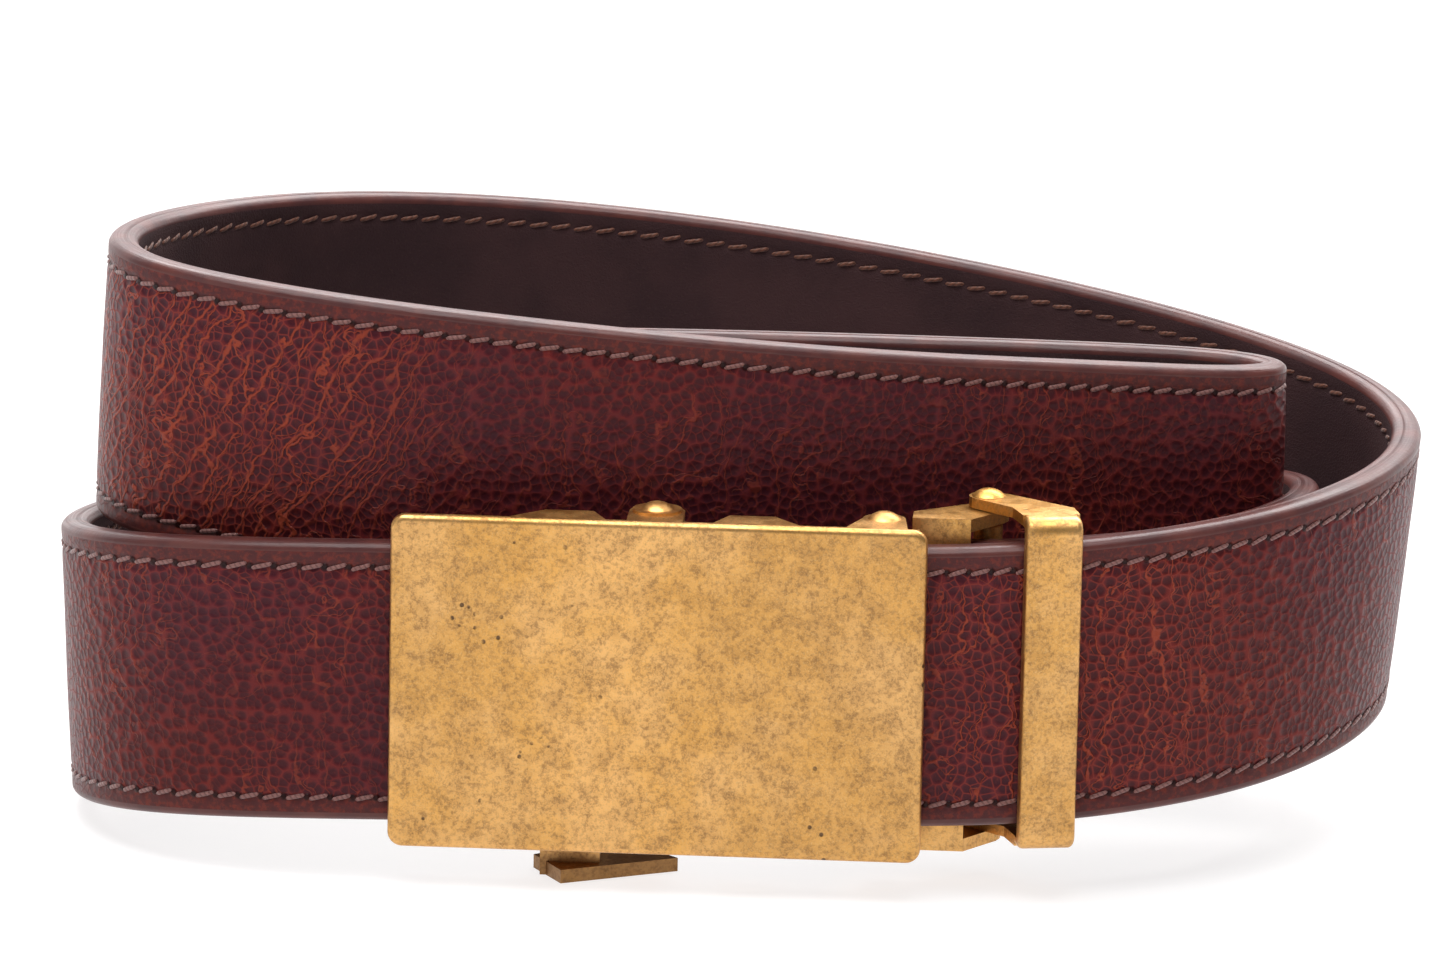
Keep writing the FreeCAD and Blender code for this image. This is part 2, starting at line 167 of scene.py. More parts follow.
DISTANCE, POINTS, NORMALS, WIDTHS = path_frames()
LENGTH = DISTANCE[-1]


def at(s, n, w):
    """Scene positions, in metres, of strap coordinates in millimetres: along, outward and across."""
    s, n, w = np.broadcast_arrays(np.asarray(s, float), n, w)
    place = np.zeros(s.shape + (3,))
    for axis in range(3):
        point = np.interp(s, DISTANCE, POINTS[:, axis])
        outward = np.interp(s, DISTANCE, NORMALS[:, axis])
        across = np.interp(s, DISTANCE, WIDTHS[:, axis])
        place[..., axis] = point + outward * n + across * w
    return place * MM + PLACE


def waves(s, w, count, longest, shortest, seed):
    """A smooth unevenness over the strap from a few crossed sine waves, between about -1 and 1."""
    dice = np.random.default_rng(seed)
    total = np.zeros(np.broadcast(s, w).shape)
    for _ in range(count):
        period = dice.uniform(shortest, longest)
        angle = dice.uniform(0, math.pi)
        phase = dice.uniform(0, 2 * math.pi)
        total += np.sin((s * math.cos(angle) + w * math.sin(angle)) * 2 * math.pi / period + phase)
    return total / count ** 0.5 / 1.5


# ---- mesh helpers ----

def link(mesh, name):
    piece = bpy.data.objects.new(name, mesh)
    bpy.context.collection.objects.link(piece)
    return piece


def keep_strap_place(mesh, values):
    """Stores every point's place along, across and through the strap, for its material to read."""
    spot = mesh.attributes.new("strap_place", "FLOAT_VECTOR", "POINT")
    spot.data.foreach_set("vector", values.astype(np.float32).ravel())


def sweep(name, offsets_n, offsets_w, slots):
    """A closed tube along the strap from ring offsets (rings by points), with a material slot per side."""
    rings, count = offsets_n.shape
    s = np.broadcast_to(DISTANCE[:, None], offsets_n.shape)
    verts = at(s, offsets_n, offsets_w).reshape(-1, 3)
    ring = np.arange(rings - 1)[:, None] * count
    side = np.arange(count)[None, :]
    after = (side + 1) % count
    corners = [ring + side, ring + after, ring + count + after, ring + count + side]
    quads = np.stack(corners, axis=-1).reshape(-1, 4)
    caps = np.concatenate([np.arange(count), (rings - 1) * count + np.arange(count)[::-1]])
    faces = len(quads)
    mesh = bpy.data.meshes.new(name)
    mesh.vertices.add(len(verts))
    mesh.vertices.foreach_set("co", verts.ravel())
    mesh.loops.add(faces * 4 + count * 2)
    mesh.loops.foreach_set("vertex_index", np.concatenate([quads.ravel(), caps]).astype(np.int32))
    mesh.polygons.add(faces + 2)
    starts = np.concatenate([np.arange(faces) * 4, [faces * 4, faces * 4 + count]])
    mesh.polygons.foreach_set("loop_start", starts.astype(np.int32))
    index = np.concatenate([np.tile(slots, rings - 1), [EDGE_SLOT, EDGE_SLOT]]).astype(np.int32)
    mesh.polygons.foreach_set("material_index", index)
    smooth = np.ones(faces + 2, bool)
    smooth[-2:] = False
    mesh.polygons.foreach_set("use_smooth", smooth)
    keep_strap_place(mesh, np.stack([s, offsets_w, offsets_n], axis=-1))
    mesh.update(calc_edges=True)
    mesh.validate()
    return link(mesh, name)


# ---- node helpers ----

class Shader:
    """One material and short ways to add its nodes; values are numbers, colours or other nodes' outputs."""

    def __init__(self, name, **inputs):
        self.material = bpy.data.materials.new(name)
        self.material.use_nodes = True
        self.tree = self.material.node_tree
        self.main = self.tree.nodes["Principled BSDF"]
        for key, value in inputs.items():
            self.main.inputs[key.replace("_", " ")].default_value = value

    def node(self, kind, settings=None, **inputs):
        made = self.tree.nodes.new("ShaderNode" + kind)
        for key, value in (settings or {}).items():
            setattr(made, key, value)
        for key, value in inputs.items():
            self.feed(made.inputs[key.replace("_", " ")], value)
        return made

    def feed(self, socket, value):
        """Links a node's output to a socket, or sets the socket's own value."""
        if isinstance(value, bpy.types.NodeSocket):
            self.tree.links.new(value, socket)
        else:
            socket.default_value = value

    def split(self, vector):
        """The X, Y and Z parts of a vector."""
        return list(self.node("SeparateXYZ", None, Vector=vector).outputs)

    def math(self, operation, *values):
        made = self.tree.nodes.new("ShaderNodeMath")
        made.operation = operation
        for socket, value in zip(made.inputs, values):
            self.feed(socket, value)
        return made.outputs[0]

    def spread(self, value, low, high, to_low=0.0, to_high=1.0):
        """Eases a value from one range to another, and holds it there outside; low may be over high."""
        made = self.node("MapRange", {"interpolation_type": "SMOOTHSTEP"}, Value=value)
        for key, number in zip(("From Min", "From Max", "To Min", "To Max"), (low, high, to_low, to_high)):
            self.feed(made.inputs[key], number)
        return made.outputs[0]

    def blend(self, factor, first, second):
        made = self.tree.nodes.new("ShaderNodeMix")
        made.data_type = "RGBA"
        self.feed(made.inputs[0], factor)
        self.feed(made.inputs[6], first)
        self.feed(made.inputs[7], second)
        return made.outputs[2]

    def noise(self, vector, scale, detail=2.0, roughness=0.5):
        made = self.node("TexNoise", None, Vector=vector, Scale=scale, Detail=detail, Roughness=roughness)
        return made.outputs[0]

    def cells(self, vector, scale, feature="DISTANCE_TO_EDGE", randomness=1.0, dimensions="3D"):
        settings = {"feature": feature, "voronoi_dimensions": dimensions}
        made = self.node("TexVoronoi", settings, Vector=vector, Scale=scale, Randomness=randomness)
        return made.outputs[0]

    def bump(self, height, strength, depth):
        """A surface normal from a height; depth is in metres."""
        return self.node("Bump", None, Height=height, Strength=strength, Distance=depth).outputs[0]

    def finish(self, color, roughness=None, normal=None):
        for key, value in (("Base Color", color), ("Roughness", roughness), ("Normal", normal)):
            if value is not None:
                self.feed(self.main.inputs[key], value)
        return self.material


def strap_place(m):
    """A point's place along, across and through the strap, in millimetres."""
    return m.node("Attribute", {"attribute_name": "strap_place"}).outputs["Vector"]


# ---- outer leather ----

DEEP_COOL = (0.052, 0.0085, 0.0150, 1)
DEEP_WARM = (0.062, 0.0080, 0.0095, 1)
MIDDLE_COOL = (0.110, 0.0150, 0.0210, 1)
MIDDLE_WARM = (0.150, 0.0150, 0.0120, 1)
FRECKLE_RED = (0.170, 0.0210, 0.0150, 1)
VALLEY_RED = (0.230, 0.0330, 0.0230, 1)
CRACK_ORANGE = (0.310, 0.0500, 0.0240, 1)
RIM_DARK = (0.082, 0.0240, 0.0230, 1)
RIM_LIGHT = (0.165, 0.0330, 0.0230, 1)
# painted shade: near black for the needle holes and, faintly, the seam grooves
HOLE_SHADE = (0.008, 0.0025, 0.0025, 1)
PEBBLES = 0.84              # pebbles per millimetre
PEBBLE_DISORDER = 0.95


def near_span(m, along, middle, reach):
    """1 at a place along the strap, fading to 0 at a distance from it."""
    return m.spread(m.math("ABSOLUTE", m.math("SUBTRACT", along, middle)), reach, reach * 0.35)


def between_seams(m, across):
    """1 between the two seams, fading to 0 on the margins outside them."""
    low_rim = m.spread(across, STITCH_INSET - 0.4, STITCH_INSET + 0.5)
    high_rim = m.spread(across, WIDTH - STITCH_INSET + 0.4, WIDTH - STITCH_INSET - 0.5)
    return m.math("MULTIPLY", low_rim, high_rim)


def pebbles(m, flat):
    """Distance to the edge of the nearest pebble, and to its centre, over gently swirled coordinates."""
    swirl = m.node("TexNoise", None, Vector=flat, Scale=0.22, Detail=2.0)
    shift = m.node("VectorMath", {"operation": "MULTIPLY_ADD"}, Vector=swirl.outputs["Color"])
    m.feed(shift.inputs[1], (1.0, 1.0, 0.0))
    m.feed(shift.inputs[2], flat)
    swirled = shift.outputs[0]
    edge = m.cells(swirled, PEBBLES, "DISTANCE_TO_EDGE", PEBBLE_DISORDER, "2D")
    centre = m.cells(swirled, PEBBLES, "F1", PEBBLE_DISORDER, "2D")
    return edge, centre


def crease_lines(m, flat, lean, spacing, wander, half_width):
    """Long wavering cracks across the strap, thin and here and there broken off; lean is in radians."""
    turned = m.node("VectorRotate", {"rotation_type": "Z_AXIS"}, Vector=flat, Angle=lean).outputs[0]
    steady = m.math("DIVIDE", m.split(turned)[0], spacing)
    drift = m.math("MULTIPLY", m.noise(flat, 0.085, 3.0, 0.55), wander)
    jitter = m.math("MULTIPLY", m.noise(flat, 0.75, 2.0), 0.40)
    phase = m.math("ADD", m.math("ADD", steady, drift), jitter)
    off_middle = m.math("ABSOLUTE", m.math("SUBTRACT", m.math("FRACT", phase), 0.5))
    line = m.spread(m.math("MULTIPLY", off_middle, spacing), half_width, half_width * 0.25)
    return m.math("MULTIPLY", line, m.spread(m.noise(turned, 0.16, 2.0), 0.38, 0.52))


def bend_cracks(m, flat, at_left, bent, region):
    """Slanted cracks at the left bend, and upright ones at both bends and, fainter, here and there."""
    slanted = crease_lines(m, flat, 0.46, 2.4, 3.0, 0.26)
    upright = crease_lines(m, flat, -0.06, 3.3, 5.0, 0.24)
    branches = crease_lines(m, flat, 0.30, 4.6, 7.0, 0.20)
    elsewhere = m.spread(region, 0.40, 0.62, 0.20, 0.60)
    where = m.math("MAXIMUM", bent, elsewhere)
    crossing = m.math("MULTIPLY", m.math("MAXIMUM", upright, branches), where)
    return m.math("MAXIMUM", m.math("MULTIPLY", slanted, at_left), crossing)


def seam_marks(m, along, across):
    """1 in the needle holes, and 1 in the groove that each seam lies in, fading to 0 beside them."""
    past_hole = m.math("SUBTRACT", m.math("FRACT", m.math("DIVIDE", along, STITCH_PITCH)), 0.5)
    beside_hole = m.math("MULTIPLY", past_hole, STITCH_PITCH)
    from_low = m.math("ABSOLUTE", m.math("SUBTRACT", across, STITCH_INSET))
    from_high = m.math("ABSOLUTE", m.math("SUBTRACT", across, WIDTH - STITCH_INSET))
    from_seam = m.math("MINIMUM", from_low, from_high)
    squares = m.math("ADD", m.math("POWER", beside_hole, 2.0), m.math("POWER", from_seam, 2.0))
    from_hole = m.math("POWER", squares, 0.5)
    return m.spread(from_hole, 0.58, 0.22), m.spread(from_seam, 0.55, 0.15)


def outer_leather():
    """Oxblood pebbled leather: dark grains, warm valleys, cracks where it was bent and a plainer margin."""
    m = Shader("oxblood_leather", Roughness=0.42, Coat_Weight=0.03, Coat_Roughness=0.28,
               Specular_IOR_Level=0.14)
    along, across, _ = m.split(strap_place(m))
    flat = m.node("CombineXYZ", None, X=along, Y=across).outputs[0]
    edge, centre = pebbles(m, flat)
    inside = between_seams(m, across)
    region = m.noise(flat, 0.045, 3.0)
    freckle = m.noise(flat, 1.1, 4.0, 0.65)
    at_left = near_span(m, along, *LEFT_BEND)
    bent = m.math("MAXIMUM", at_left, near_span(m, along, *PLATE_BEND))
    crack = m.math("MULTIPLY", bend_cracks(m, flat, at_left, bent, region), inside)
    hole, groove = seam_marks(m, along, across)

    tint = m.spread(m.noise(flat, 0.020, 2.0), 0.35, 0.65)
    deep = m.blend(tint, DEEP_COOL, DEEP_WARM)
    middle = m.blend(tint, MIDDLE_COOL, MIDDLE_WARM)
    grain = m.blend(m.spread(centre, 0.30, 0.72), deep, middle)
    grain = m.blend(m.spread(freckle, 0.50, 0.75, 0.0, 0.55), grain, FRECKLE_RED)
    valley = m.spread(edge, 0.115, 0.015)
    worn = m.math("MAXIMUM", m.spread(region, 0.38, 0.66, 0.12, 0.50), m.math("MULTIPLY", bent, 0.9))
    warm = m.math("MULTIPLY", m.math("MULTIPLY", valley, worn), m.spread(inside, 0.0, 1.0, 0.2, 0.8))
    color = m.blend(warm, grain, VALLEY_RED)
    color = m.blend(m.math("MULTIPLY", crack, 0.90), color, CRACK_ORANGE)
    rim = m.blend(m.spread(freckle, 0.45, 0.62), RIM_DARK, RIM_LIGHT)
    color = m.blend(m.spread(inside, 0.7, 0.2, 0.0, 0.75), color, rim)
    # painted shade: the needle holes, and the seam grooves at a quarter strength, are darkened as if shaded
    seam_shade = m.math("MAXIMUM", hole, m.math("MULTIPLY", groove, 0.25))
    color = m.blend(m.math("MULTIPLY", seam_shade, 0.85), color, HOLE_SHADE)
    rough = m.spread(m.math("ADD", valley, m.math("MULTIPLY", freckle, 0.6)), 0.1, 1.4, 0.34, 0.56)

    dome = m.math("SUBTRACT", 1.0, m.spread(centre, 0.1, 0.85))
    height = m.math("MULTIPLY", dome, m.spread(inside, 0.0, 1.0, 0.15, 0.8))
    height = m.math("SUBTRACT", height, m.math("MULTIPLY", crack, 0.8))
    height = m.math("SUBTRACT", height, m.math("MULTIPLY", hole, 1.8))
    height = m.math("ADD", height, m.math("MULTIPLY", m.noise(flat, 3.0, 3.0), 0.20))
    return m.finish(color, rough, m.bump(height, 0.8, 0.00020))


# ---- edge, lining and thread ----

def edge_paint():
    """Glossy dark brown edge paint with faint layer lines."""
    m = Shader("edge_paint", Roughness=0.38, Coat_Weight=0.08, Coat_Roughness=0.2, Specular_IOR_Level=0.32)
    place = strap_place(m)
    along, _, through = m.split(place)
    long_way = m.math("MULTIPLY", along, 0.08)
    short_way = m.math("MULTIPLY", through, 3.0)
    lines = m.noise(m.node("CombineXYZ", None, X=long_way, Y=short_way).outputs[0], 1.0, 4.0, 0.6)
    blotch = m.noise(place, 0.25, 3.0)
    color = m.blend(m.spread(blotch, 0.3, 0.7), (0.075, 0.0230, 0.0230, 1), (0.125, 0.0360, 0.0300, 1))
    height = m.math("ADD", m.math("MULTIPLY", lines, 0.8), m.math("MULTIPLY", m.noise(place, 1.4, 3.0), 0.5))
    rough = m.spread(lines, 0.3, 0.7, 0.30, 0.46)
    return m.finish(color, rough, m.bump(height, 0.5, 0.00015))


def lining_leather():
    """Matte dark brown lining with a fine nap."""
    m = Shader("lining_leather", Roughness=0.72, Specular_IOR_Level=0.3)
    place = strap_place(m)
    speck = m.noise(place, 2.6, 4.0, 0.65)
    cloud = m.noise(place, 0.09, 3.0)
    color = m.blend(m.spread(cloud, 0.3, 0.7), (0.043, 0.0190, 0.0220, 1), (0.066, 0.0290, 0.0310, 1))
    color = m.blend(m.math("MULTIPLY", m.spread(speck, 0.5, 0.8), 0.5), color, (0.085, 0.045, 0.036, 1))
    pores = m.cells(place, 2.2)
    height = m.math("ADD", speck, m.math("MULTIPLY", m.spread(pores, 0.0, 0.2), 0.5))
    return m.finish(color, None, m.bump(height, 0.5, 0.00012))


def thread_material(name, dark, light):
    """Waxed twisted thread: light and shade over its plies are painted in as slanted stripes, from a shaded
    to a lit colour.
    """
    m = Shader(name, Roughness=0.5, Sheen_Weight=0.25)
    place = strap_place(m)
    along, across, _ = m.split(place)
    slanted = m.math("ADD", m.math("MULTIPLY", along, 9.0), m.math("MULTIPLY", across, 7.0))
    ply = m.math("SINE", slanted)
    # painted light and shade: the ply sine that makes the bump also sets the colour, lit on each ply and
    # shaded between them
    color = m.blend(m.spread(ply, -1.4, 0.2), dark, light)
    fuzz = m.noise(place, 2.0, 3.0)
    color = m.blend(m.math("MULTIPLY", fuzz, 0.4), color, dark)
    return m.finish(color, None, m.bump(ply, 0.35, 0.00006))


# ---- metal and nylon ----

GOLD = (0.87, 0.490, 0.170)
DEEP_GOLD = (0.81, 0.420, 0.100)
TARNISH = (0.42, 0.245, 0.105)
DULL_BROWN = (0.36, 0.215, 0.105)
SPOT_BROWN = (0.25, 0.138, 0.070)
GRIT_YELLOW = (0.72, 0.48, 0.21)
PIT_DARK = (0.075, 0.050, 0.040, 1)
# painted shade: the brown the brass turns towards the floor, where its lower parts lie in shadow
FLOOR_SHADE_BROWN = (0.13, 0.062, 0.030, 1)


def antique_brass(name, tone=1.0, patina=1.0):
    """Brass aged in fine dark speckles and blotches, pitted here and there, with painted shade that turns it
    browner towards the floor.
    """
    m = Shader(name, Metallic=1.0, Roughness=0.42)
    place = m.node("TexCoord").outputs["Object"]
    cloud = m.noise(place, 48.0, 4.0, 0.62)
    patch = m.noise(place, 330.0, 4.0, 0.7)
    speck = m.noise(place, 1900.0, 3.0, 0.75)
    grit = m.noise(place, 4200.0, 2.0, 0.6)

    def toned(color):
        return tuple(part * tone for part in color) + (1,)

    color = m.blend(m.spread(cloud, 0.38, 0.62), toned(GOLD), toned(DEEP_GOLD))
    broad = m.spread(m.noise(place, 24.0, 2.0), 0.36, 0.64, 0.0, 0.30)
    color = m.blend(m.math("MULTIPLY", broad, patina), color, toned(TARNISH))
    dull = m.spread(patch, 0.36, 0.70, 0.25, 0.85)
    color = m.blend(m.math("MULTIPLY", dull, 0.30 * patina), color, toned(DULL_BROWN))
    spots = m.math("MULTIPLY", m.spread(speck, 0.42, 0.66), m.spread(dull, 0.0, 1.0, 0.5, 1.0))
    color = m.blend(m.math("MULTIPLY", spots, 0.62 * patina), color, toned(SPOT_BROWN))
    color = m.blend(m.spread(grit, 0.50, 0.72, 0.0, 0.45), color, toned(GRIT_YELLOW))
    few = m.spread(m.noise(place, 130.0, 2.0), 0.615, 0.66)
    pit = m.math("MULTIPLY", m.spread(m.cells(place, 620.0, "F1"), 0.22, 0.12), few)
    color = m.blend(m.math("MULTIPLY", pit, 0.85), color, PIT_DARK)
    # painted shade: brass within a few millimetres of the floor is browned, as the lever and lower edges are
    # shaded there
    floor_shade = m.spread(m.split(place)[2], 0.0048, 0.0015)
    color = m.blend(m.math("MULTIPLY", floor_shade, 0.75), color, FLOOR_SHADE_BROWN)
    rough = m.spread(m.math("ADD", dull, m.math("MULTIPLY", spots, 0.5)), 0.1, 1.2, 0.33, 0.55)
    height = m.math("ADD", m.math("MULTIPLY", speck, 0.6), m.math("MULTIPLY", patch, 0.7))
    height = m.math("SUBTRACT", height, m.math("MULTIPLY", pit, 1.6))
    return m.finish(color, rough, m.bump(height, 0.35, 0.00012))


def spring_steel():
    """Bright drawn wire."""
    m = Shader("spring_steel", Metallic=1.0, Roughness=0.3)
    place = m.node("TexCoord").outputs["Object"]
    drawn = m.noise(place, 900.0, 3.0)
    color = m.blend(drawn, (0.42, 0.40, 0.38, 1), (0.62, 0.61, 0.6, 1))
    return m.finish(color, m.spread(drawn, 0.3, 0.7, 0.22, 0.4))


def track_nylon():
    """Near-black moulded nylon."""
    m = Shader("track_nylon", Roughness=0.55)
    place = m.node("TexCoord").outputs["Object"]
    mottle = m.noise(place, 700.0, 3.0)
    color = m.blend(mottle, (0.012, 0.010, 0.010, 1), (0.035, 0.028, 0.026, 1))
    return m.finish(color, None, m.bump(mottle, 0.3, 0.0001))


LEATHER = outer_leather()
EDGE = edge_paint()
LINING = lining_leather()
# the dark and light colours are the thread's shaded and lit tones, painted in along the plies
THREAD = thread_material("seam_thread", (0.11, 0.034, 0.029, 1), (0.255, 0.108, 0.094, 1))
BOBBIN = thread_material("bobbin_thread", (0.07, 0.022, 0.014, 1), (0.21, 0.070, 0.035, 1))
BRASS = antique_brass("antique_brass")
DARK_BRASS = antique_brass("dark_antique_brass", 1.15, 1.2)
PIN_BRASS = antique_brass("pin_brass", 1.12, 0.45)


# ---- strap pieces ----

def seam_dip(s, w, depth, reach, ripple=0.0):
    """How far the seams press the surface in; with a ripple, most under the middle of each stitch."""
    press = 1.0 - ripple + ripple * np.cos(2 * math.pi * s / STITCH_PITCH)
    dip = np.zeros(np.broadcast(s, w).shape)
    for row in (STITCH_INSET, WIDTH - STITCH_INSET):
        dip = dip + depth * press * np.exp(-((w - row) / reach) ** 2)
    return dip


def face_relief(s, w):
    """How far the leather's face stands from its plain level: a soft crown, seams, unevenness."""
    from_middle = (w - WIDTH / 2) / (WIDTH / 2 - STITCH_INSET)
    crown = 0.10 * (1.0 - from_middle ** 2).clip(-0.4, 1)
    return crown - seam_dip(s, w, 0.26, 0.75, 0.25) + 0.035 * waves(s, w, 14, 26.0, 7.0, 3)


def lining_relief(s, w):
    """The same for the lining, which is flat and takes up less of the seams."""
    return 0.02 * waves(s, w, 10, 20.0, 6.0, 5) - seam_dip(s, w, 0.12, 0.7)


def width_scale(s):
    """The share of the strap's width at a distance along it: less over the last stretch, to a soft tip."""
    along = np.clip((s - (LENGTH - TIP_TAPER)) / TIP_TAPER, 0.0, 1.0)
    end = 0.2                   # how high the ellipse that shapes the tip still is where the strap ends
    ellipse = np.sqrt(1.0 - (1.0 - end ** 2) * along ** 2)
    return 1.0 - (1.0 - TIP_WIDTH) * (1.0 - ellipse) / (1.0 - end)


def shoulder(upper, face):
    """Outward and across offsets round one shoulder of the strap, from the face to the edge."""
    angle = np.linspace(0.0, math.pi / 2, EDGE_STEPS + 1)
    inward = np.sign(face) * SHOULDER_IN
    n = (face - inward) + inward * np.cos(angle)
    across = SHOULDER_ACROSS * (1.0 - np.sin(angle))
    return n, (WIDTH - across if upper else across)


def strap_section(face, relief):
    """Closed rings of strap offsets between a face and the split, and the material slot of each side."""
    past_seam = STITCH_INSET + PAST_SEAM
    low_rim = np.linspace(SHOULDER_ACROSS, past_seam, RIM_STEPS, endpoint=False)
    middle = np.linspace(past_seam, WIDTH - past_seam, MIDDLE_STEPS)
    face_w = np.concatenate([low_rim, middle, (WIDTH - low_rim)[::-1]])
    steps = len(face_w)
    up_n, up_w = shoulder(True, face)
    down_n, down_w = shoulder(False, face)
    n = np.concatenate([np.full(steps, face), up_n[1:], [SPLIT, SPLIT], down_n[:0:-1]])
    w = np.concatenate([face_w, up_w[1:], [WIDTH, 0.0], down_w[:0:-1]])
    slots = np.full(len(n), EDGE_SLOT)
    slots[:steps - 1] = FACE_SLOT
    s = DISTANCE[:, None]
    n = np.broadcast_to(n, (SAMPLES + 1, len(n))).copy()
    w = np.broadcast_to(w, n.shape)
    n[:, :steps] += np.sign(face) * relief(s, face_w[None, :])
    return n, WIDTH / 2 + (w - WIDTH / 2) * width_scale(s), slots


def strap_piece(name, section, face_material):
    piece = sweep(name, *section)
    for material in (face_material, EDGE):
        piece.data.materials.append(material)
    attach(piece, "belt")
    return piece


def make_strap():
    """The outer leather with the core under it, and the lining, whose rings run the other way round."""
    leather = strap_piece("strap_leather", strap_section(HALF, face_relief), LEATHER)
    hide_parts("strap_outer_leather", "strap_core")
    n, w, slots = strap_section(-HALF, lining_relief)
    reversed_section = (n[:, ::-1], w[:, ::-1], np.roll(slots[::-1], -1))
    lining = strap_piece("strap_lining_leather", reversed_section, LINING)
    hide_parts("strap_lining")


# ---- stitches ----

def stitch(start, row, side, dice):
    """Strap coordinates of one stitch: a slanted capsule that stands proud and dips in at both ends."""
    reach = STITCH_PITCH / 2 * dice.uniform(0.90, 0.96)
    slant = dice.uniform(0.26, 0.40) * side
    rise = dice.uniform(0.10, 0.17)
    relief = face_relief if side == OUTER else lining_relief
    u = np.linspace(-1.0, 1.0, STITCH_STATIONS)
    angle = np.linspace(0.0, 2 * math.pi, STITCH_SIDES, endpoint=False)
    s = start + STITCH_PITCH / 2 + u * reach
    bulge = rise * (1 - u ** 2)
    level = HALF + relief(s, np.full(STITCH_STATIONS, row)) + bulge - 0.12 * np.abs(u) ** 6
    thick = THREAD_RADIUS * np.sqrt(np.clip(1.0 - np.abs(u) ** 5, 0.02, 1.0))
    w = (row + slant * u)[:, None] + thick[:, None] * np.cos(angle)
    n = side * (level[:, None] + 0.62 * thick[:, None] * np.sin(angle))
    return np.broadcast_to(s[:, None], w.shape), n, w


def stitch_faces(side):
    """The faces of one stitch, as corners: quads round it and a cap at each end."""
    faces = []
    for low in range(0, (STITCH_STATIONS - 1) * STITCH_SIDES, STITCH_SIDES):
        high = low + STITCH_SIDES
        for j in range(STITCH_SIDES):
            k = (j + 1) % STITCH_SIDES
            faces.append([low + j, low + k, high + k, high + j])
    last = (STITCH_STATIONS - 1) * STITCH_SIDES
    faces.append(list(range(STITCH_SIDES))[::-1])
    faces.append(list(range(last, last + STITCH_SIDES)))
    return faces if side == OUTER else [face[::-1] for face in faces]


def stitch_row(name, row, side, node, material):
    """One seam's visible thread: a stitch from each needle hole to the next, at odd half pitches."""
    dice = np.random.default_rng(int(row * 10) + (1 if side == OUTER else 2))
    shape = stitch_faces(side)
    verts = []
    spots = []
    faces = []
    for k in range(math.ceil((LENGTH - TIP_TAPER - SEAM_ENDS) / STITCH_PITCH) - 1):
        s, n, w = stitch((1.5 + k) * STITCH_PITCH, row, side, dice)
        verts.append(at(s, n, w).reshape(-1, 3))
        spots.append(np.stack([s, w, n], axis=-1).reshape(-1, 3))
        base = k * STITCH_STATIONS * STITCH_SIDES
        faces += [[base + corner for corner in face] for face in shape]
    mesh = bpy.data.meshes.new(name)
    mesh.from_pydata(np.concatenate(verts).tolist(), [], faces)
    keep_strap_place(mesh, np.concatenate(spots))
    mesh.polygons.foreach_set("use_smooth", np.ones(len(faces), bool))
    mesh.materials.append(material)
    piece = link(mesh, name)
    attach(piece, "belt")
    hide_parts(node)


UPPER_ROW = WIDTH - STITCH_INSET
LOWER_ROW = STITCH_INSET
make_strap()
stitch_row("upper_seam_stitches", UPPER_ROW, OUTER, "upper_needle_thread", THREAD)
stitch_row("lower_seam_stitches", LOWER_ROW, OUTER, "lower_needle_thread", THREAD)
stitch_row("upper_bobbin_stitches", UPPER_ROW, INNER, "upper_bobbin_thread", BOBBIN)
stitch_row("lower_bobbin_stitches", LOWER_ROW, INNER, "lower_bobbin_thread", BOBBIN)


# ---- parts carried over from the CAD model ----

SOFTENING = 0.3             # width of the bevel along sharp edges, in millimetres
SHARP_ANGLE = 35            # degrees from which an edge is sharp


def paint(node, material):
    """Gives a CAD node its material."""
    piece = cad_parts[node]
    piece.data.materials.clear()
    piece.data.materials.append(material)
    return piece


def dress(node, material):
    """Gives a CAD node its material and a small softening of its sharp edges."""
    bevel = paint(node, material).modifiers.new("soft_edges", "BEVEL")
    bevel.width = SOFTENING * MM
    bevel.segments = 3
    bevel.limit_method = "ANGLE"
    bevel.angle_limit = math.radians(SHARP_ANGLE)
    bevel.harden_normals = False


for node in ("faceplate", "clamp_link", "keeper_loop"):
    dress(node, BRASS)
for node in ("buckle_frame", "release_pawl", "clamp_jaw"):
    dress(node, DARK_BRASS)
for node in ("pawl_pin", "pawl_pin_washers", "hinge_pin", "clamp_pin"):
    dress(node, PIN_BRASS)
paint("pawl_spring", spring_steel())
paint("ratchet_track", track_nylon())


# ---- floor and light, in metres and watts ----

FLOOR_REACH = 4.0           # how far the floor goes to the front and the sides
FLOOR_BACK = 1.6            # how far back the backdrop stands
FLOOR_TOP = -0.00005
BACKDROP_HEIGHT = 3.0


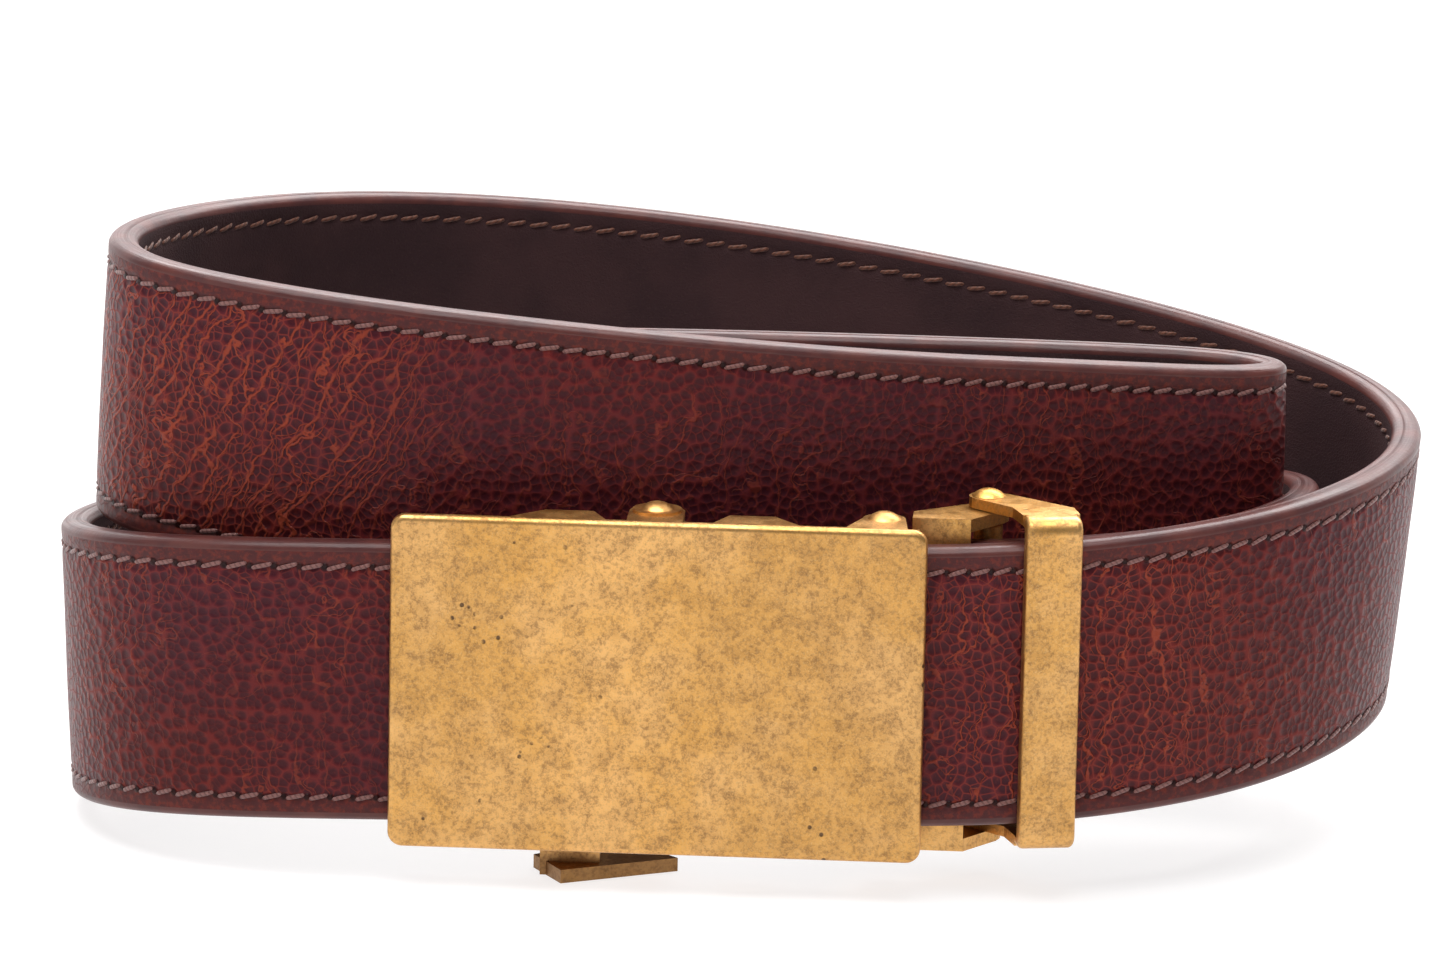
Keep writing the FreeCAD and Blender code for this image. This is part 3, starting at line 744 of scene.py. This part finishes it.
def plain_stage(name, corners, glow, tone):
    """A pale surface that belongs to the studio: it glows a little, so that it stays white in the picture."""
    mesh = bpy.data.meshes.new(name)
    mesh.from_pydata(corners, [], [(0, 1, 2, 3)])
    surface = link(mesh, name)
    m = Shader(name + "_paint", Roughness=0.9, Specular_IOR_Level=0.1, Emission_Strength=glow,
               Emission_Color=(1.0, 0.985, 0.985, 1))
    place = m.node("TexCoord").outputs["Object"]
    pale = (tone, tone * 0.985, tone * 0.985, 1)
    paler = (tone, tone * 0.99, tone * 0.99, 1)
    mesh.materials.append(m.finish(m.blend(m.noise(place, 3.0), pale, paler)))


def make_stage():
    front_left = (-FLOOR_REACH, -FLOOR_REACH, FLOOR_TOP)
    front_right = (FLOOR_REACH, -FLOOR_REACH, FLOOR_TOP)
    back_left = (-FLOOR_REACH, FLOOR_BACK, FLOOR_TOP)
    back_right = (FLOOR_REACH, FLOOR_BACK, FLOOR_TOP)
    top_left = (-FLOOR_REACH, FLOOR_BACK, BACKDROP_HEIGHT)
    top_right = (FLOOR_REACH, FLOOR_BACK, BACKDROP_HEIGHT)
    plain_stage("floor", [front_left, front_right, back_right, back_left], 0.80, 0.30)
    plain_stage("backdrop", [back_left, back_right, top_right, top_left], 1.0, 0.80)


def area_light(name, place, aim, size, power):
    data = bpy.data.lights.new(name, "AREA")
    data.shape = "RECTANGLE"
    data.size, data.size_y = size
    data.energy = power
    lamp = bpy.data.objects.new(name, data)
    bpy.context.collection.objects.link(lamp)
    lamp.location = place
    lamp.rotation_euler = (Vector(aim) - Vector(place)).to_track_quat("-Z", "Y").to_euler()


def make_light():
    """A dim white surround, softboxes behind and above, and a faint one from the left."""
    world = bpy.data.worlds.new("studio")
    bpy.context.scene.world = world
    world.use_nodes = True
    surround = world.node_tree.nodes["Background"]
    surround.inputs[0].default_value = (1.0, 1.0, 1.0, 1)
    surround.inputs[1].default_value = 0.22
    area_light("back_softbox", (0.15, 0.75, 0.85), (0, 0, 0.03), (1.3, 0.6), 15)
    area_light("top_softbox", (-0.1, -0.2, 1.0), (0, 0, 0.03), (0.9, 0.7), 10)
    area_light("left_softbox", (-0.95, -0.6, 0.45), (0, 0, 0.04), (0.5, 0.6), 0.9)
    bpy.context.scene.view_settings.view_transform = "Standard"


make_stage()
make_light()
